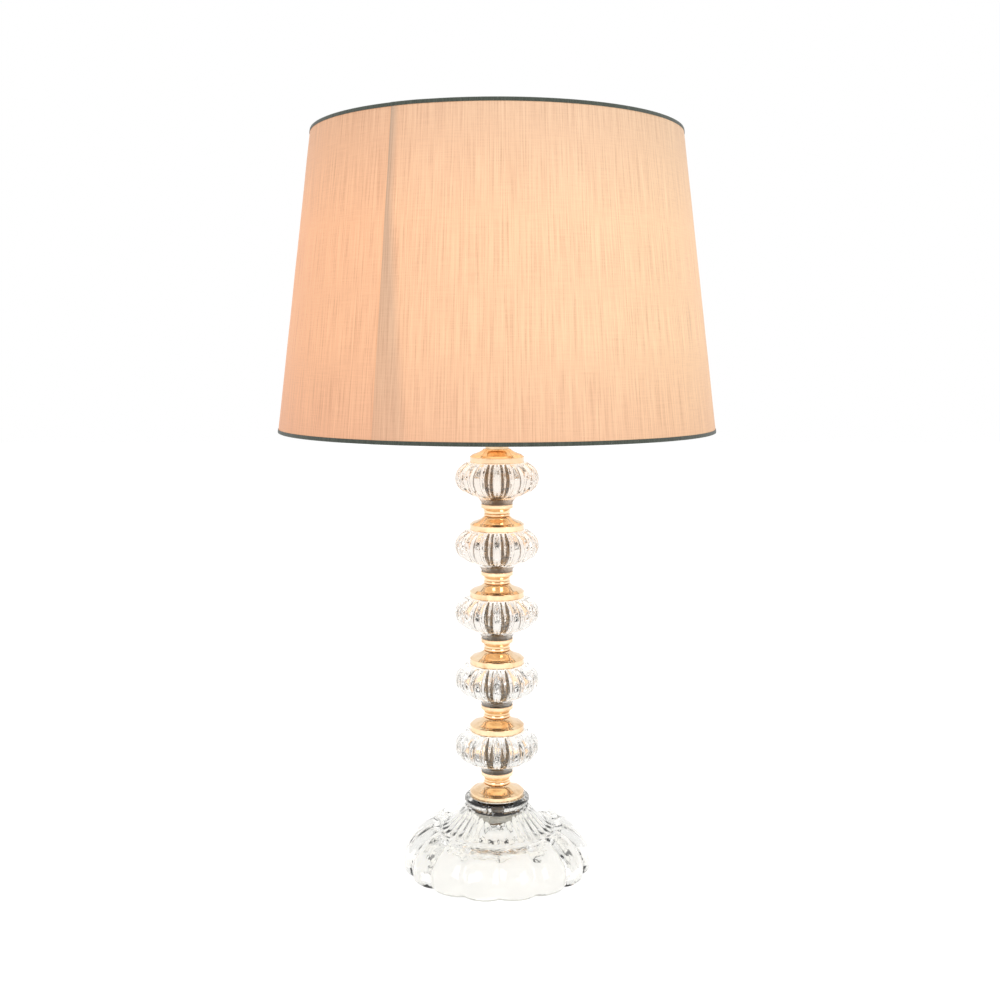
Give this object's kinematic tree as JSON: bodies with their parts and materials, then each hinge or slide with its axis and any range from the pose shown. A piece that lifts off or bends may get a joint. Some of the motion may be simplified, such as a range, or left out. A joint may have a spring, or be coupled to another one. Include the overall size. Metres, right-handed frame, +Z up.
{
  "type": "candlestick table lamp",
  "caption": "Candlestick table lamp with ribbed clear-glass beads, brass bell caps, a pressed-glass foot and a tapered fabric drum shade.",
  "frame": {"origin": "on the table at the centre of the foot", "axes": "+Z up along the pipe; the front of the lamp faces -Y and the cord inlet +Y"},
  "size_m": [0.2998, 0.2998, 0.509],
  "materials": {
    "clear_glass": "pressed, polished",
    "polished_brass": "polished, lacquered",
    "contact_brass": "as stamped",
    "steel": "zinc plated",
    "rubber": "matt",
    "black_plastic": "moulded",
    "white_ceramic": "unglazed",
    "frosted_glass": "frosted inside",
    "bulb_metal": "rolled",
    "shade_fabric": "slub silk weave",
    "white_liner": "matt film",
    "white_wire": "powder coated",
    "edge_tape": "woven tape"
  },
  "bodies": {
    "lamp": {"base_glass": "clear_glass", "cord_inlet_bushing": "black_plastic", "base_rubber_washer": "rubber", "base_steel_washer": "steel", "base_clamp_nut": "steel", "threaded_pipe": "steel", "bell_cap_1": "polished_brass", "neck_ring_1": "polished_brass", "bead_cup_1": "polished_brass", "glass_bead_1": "clear_glass", "bell_cap_2": "polished_brass", "neck_ring_2": "polished_brass", "bead_cup_2": "polished_brass", "glass_bead_2": "clear_glass", "bell_cap_3": "polished_brass", "neck_ring_3": "polished_brass", "bead_cup_3": "polished_brass", "glass_bead_3": "clear_glass", "bell_cap_4": "polished_brass", "neck_ring_4": "polished_brass", "bead_cup_4": "polished_brass", "glass_bead_4": "clear_glass", "bell_cap_5": "polished_brass", "neck_ring_5": "polished_brass", "bead_cup_5": "polished_brass", "glass_bead_5": "clear_glass", "bell_cap_6": "polished_brass", "check_nut": "steel", "lampholder_cap": "black_plastic", "lampholder_grub_screw": "steel", "lampholder_core": "white_ceramic", "terminal_screws": "contact_brass", "lampholder_skirt": "black_plastic", "thread_sleeve": "contact_brass", "centre_contact": "contact_brass"},
    "shade": {"shade_fabric": "shade_fabric", "shade_liner": "white_liner", "shade_top_wire": "white_wire", "shade_bottom_wire": "white_wire", "shade_fitter": "white_wire", "shade_top_tape": "edge_tape", "shade_bottom_tape": "edge_tape"},
    "shade_ring": {"shade_ring": "black_plastic"},
    "bulb": {"bulb_envelope": "frosted_glass", "bulb_screw_cap": "bulb_metal", "bulb_insulator": "black_plastic"},
    "bulb_tip": {"bulb_tip": "steel"}
  },
  "joints": [
    {"name": "shade_turn", "type": "hinge", "parent": "lamp", "child": "shade", "pos_m": [0, 0, 0.32], "axis": [0, 0, 1], "continuous": true},
    {"name": "shade_ring_rise", "type": "slide", "parent": "lamp", "child": "shade_ring", "axis": [0, 0, 1], "range_m": [0, 0.018]},
    {"name": "bulb_turn", "type": "hinge", "parent": "lamp", "child": "bulb_tip", "pos_m": [0, 0, 0.32], "axis": [0, 0, 1], "range_deg": [0, 1440]},
    {"name": "bulb_rise", "type": "slide", "parent": "bulb_tip", "child": "bulb", "axis": [0, 0, 1], "range_m": [0, 0.01462]}
  ],
  "couplings": [
    {"joint": "bulb_rise", "follows": "bulb_turn", "m_per_rad": 0.00057773}
  ]
}
